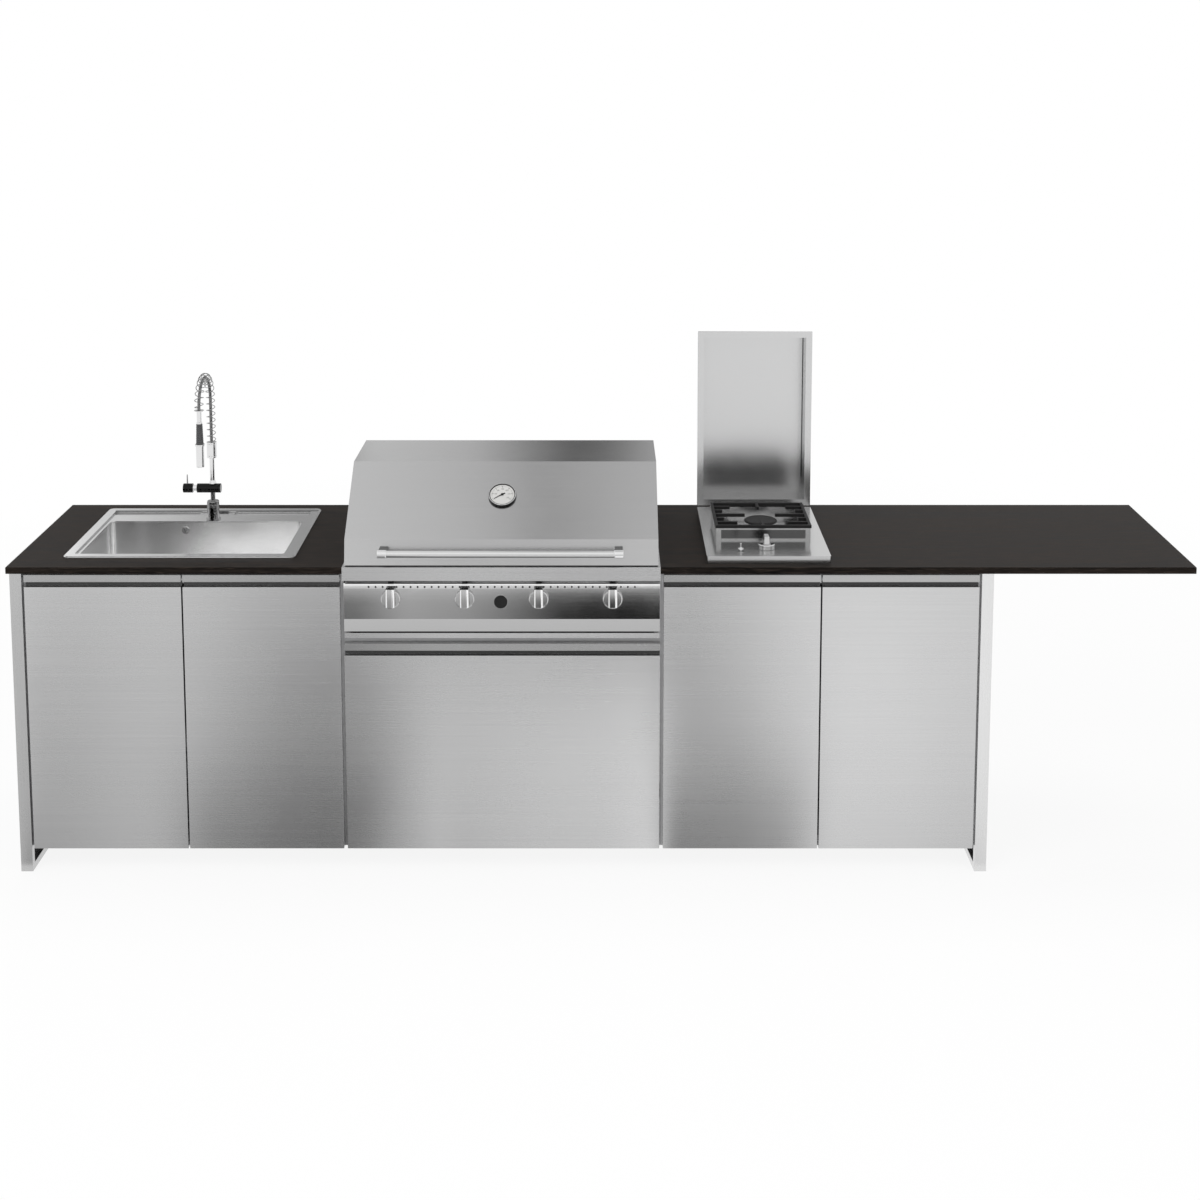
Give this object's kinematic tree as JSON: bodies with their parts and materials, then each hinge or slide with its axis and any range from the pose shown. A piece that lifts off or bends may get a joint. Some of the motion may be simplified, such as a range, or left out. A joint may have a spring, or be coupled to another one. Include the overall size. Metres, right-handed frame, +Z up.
{
  "type": "outdoor kitchen island",
  "caption": "Outdoor kitchen island: stainless cabinets under a dark worktop with a sink and spring tap, a hooded gas grill, a lidded side burner and a snack overhang.",
  "frame": {"origin": "middle of the bounding box on the floor", "axes": "+X along the row from the sink to the snack end, +Y from the cook towards the back, +Z up"},
  "size_m": [3.33, 0.698, 1.4771],
  "materials": {
    "worktop_laminate": "very dark brown wood-grain high pressure laminate, satin",
    "brushed_steel": "fine horizontal brush lines, satin",
    "polished_steel": "bright polished stainless steel",
    "sheet_steel": "plain cabinet sheet, smooth mid-grey",
    "dark_steel": "dark coated steel, satin",
    "cast_iron": "matt black enamelled cast iron",
    "chrome": "mirror chrome",
    "rubber": "black hose, smooth",
    "dial_enamel": "off-white dial with black graduations",
    "pointer_black": "matt black",
    "grey_plastic": "moulded waste fittings, matt grey"
  },
  "bodies": {
    "island": {"worktop": "worktop_laminate", "left_end_frame": "brushed_steel", "right_end_frame": "brushed_steel", "left_end_panel": "brushed_steel", "right_end_panel": "brushed_steel", "overhang_bearer": "sheet_steel", "sink_cabinet": "sheet_steel", "grill_cabinet": "sheet_steel", "hob_cabinet": "sheet_steel", "sink_shelf": "sheet_steel", "hob_shelf": "sheet_steel", "front_foot_rail": "dark_steel", "rear_foot_rail": "dark_steel", "drawer_runner_left": "dark_steel", "drawer_runner_right": "dark_steel", "grill_firebox": "brushed_steel", "control_panel": "polished_steel", "gas_manifold": "dark_steel", "burner_1": "sheet_steel", "burner_2": "sheet_steel", "burner_3": "sheet_steel", "burner_4": "sheet_steel", "cooking_grate_left": "cast_iron", "cooking_grate_right": "cast_iron", "warming_rack": "chrome", "sink_bowl": "brushed_steel", "sink_strainer": "chrome", "overflow_cover": "chrome", "waste_trap": "grey_plastic", "tap_body": "chrome", "hob_plate": "brushed_steel", "hob_grate": "cast_iron", "hob_burner": "cast_iron", "lid_hinge_pin": "chrome"},
    "left_sink_door": {"sink_door_left": "brushed_steel"},
    "right_sink_door": {"sink_door_right": "brushed_steel"},
    "left_hob_door": {"hob_door_left": "brushed_steel"},
    "right_hob_door": {"hob_door_right": "brushed_steel"},
    "drawer": {"drawer_front": "brushed_steel", "drawer_box": "sheet_steel"},
    "grill_hood": {"hood": "brushed_steel", "handle_bar": "polished_steel", "handle_bracket_left": "chrome", "handle_bracket_right": "chrome", "thermometer_case": "chrome", "thermometer_dial": "dial_enamel"},
    "gauge_needle": {"thermometer_needle": "pointer_black"},
    "grill_knob_1": {"knob_1": "polished_steel"},
    "grill_knob_2": {"knob_2": "polished_steel"},
    "grill_knob_3": {"knob_3": "polished_steel"},
    "grill_knob_4": {"knob_4": "polished_steel"},
    "grease_tray": {"drip_tray": "brushed_steel"},
    "tap_spout": {"tap_riser": "chrome", "tap_spring": "chrome", "tap_hose": "rubber", "spray_handle": "chrome"},
    "mixer_lever": {"tap_lever": "chrome"},
    "lid": {"hob_lid": "brushed_steel"},
    "burner_knob": {"hob_knob": "chrome"},
    "spark_button": {"hob_ignition_button": "chrome"}
  },
  "joints": [
    {"name": "sink_door_left_hinge", "type": "hinge", "parent": "island", "child": "left_sink_door", "pos_m": [-1.623, -0.277, 0.473], "axis": [0, 0, -1], "range_deg": [0, 90]},
    {"name": "sink_door_right_hinge", "type": "hinge", "parent": "island", "child": "right_sink_door", "pos_m": [-0.735, -0.277, 0.473], "axis": [0, 0, 1], "range_deg": [0, 90]},
    {"name": "hob_door_left_hinge", "type": "hinge", "parent": "island", "child": "left_hob_door", "pos_m": [0.177, -0.277, 0.473], "axis": [0, 0, -1], "range_deg": [0, 90]},
    {"name": "hob_door_right_hinge", "type": "hinge", "parent": "island", "child": "right_hob_door", "pos_m": [1.065, -0.277, 0.473], "axis": [0, 0, 1], "range_deg": [0, 90]},
    {"name": "drawer_slide", "type": "slide", "parent": "island", "child": "drawer", "axis": [0, -1, 0], "range_m": [0, 0.45]},
    {"name": "hood_hinge", "type": "hinge", "parent": "island", "child": "grill_hood", "pos_m": [-0.279, 0.239, 0.935], "axis": [-1, 0, 0], "range_deg": [0, 80]},
    {"name": "needle_spindle", "type": "hinge", "parent": "grill_hood", "child": "gauge_needle", "pos_m": [-0.279, -0.157, 1.07264], "axis": [0, -0.6069, 0.7948], "range_deg": [-60, 200]},
    {"name": "grill_knob_1_turn", "type": "hinge", "parent": "island", "child": "grill_knob_1", "pos_m": [-0.591, -0.277, 0.81], "axis": [0, -1, 0], "range_deg": [0, 150]},
    {"name": "grill_knob_2_turn", "type": "hinge", "parent": "island", "child": "grill_knob_2", "pos_m": [-0.383, -0.277, 0.81], "axis": [0, -1, 0], "range_deg": [0, 150]},
    {"name": "grill_knob_3_turn", "type": "hinge", "parent": "island", "child": "grill_knob_3", "pos_m": [-0.175, -0.277, 0.81], "axis": [0, -1, 0], "range_deg": [0, 150]},
    {"name": "grill_knob_4_turn", "type": "hinge", "parent": "island", "child": "grill_knob_4", "pos_m": [0.033, -0.277, 0.81], "axis": [0, -1, 0], "range_deg": [0, 150]},
    {"name": "drip_tray_slide", "type": "slide", "parent": "island", "child": "grease_tray", "axis": [0, -1, 0], "range_m": [0, 0.4]},
    {"name": "tap_swivel", "type": "hinge", "parent": "island", "child": "tap_spout", "pos_m": [-1.185, 0.181, 1.02], "axis": [0, 0, 1], "range_deg": [-110, 110]},
    {"name": "tap_lever_turn", "type": "hinge", "parent": "island", "child": "mixer_lever", "pos_m": [-1.26, 0.181, 1.006], "axis": [1, 0, 0], "range_deg": [-40, 40]},
    {"name": "hob_lid_hinge", "type": "hinge", "parent": "island", "child": "lid", "pos_m": [0.473, 0.2493, 0.9256], "axis": [1, 0, 0], "range_deg": [0, 90]},
    {"name": "hob_knob_turn", "type": "hinge", "parent": "island", "child": "burner_knob", "pos_m": [0.472, -0.19, 0.94], "axis": [0, 0, 1], "range_deg": [0, 180]},
    {"name": "ignition_press", "type": "slide", "parent": "island", "child": "spark_button", "axis": [0, 0, -1], "range_m": [0, 0.003], "stiffness_N_per_m": 900, "springref_m": -0.0005}
  ]
}
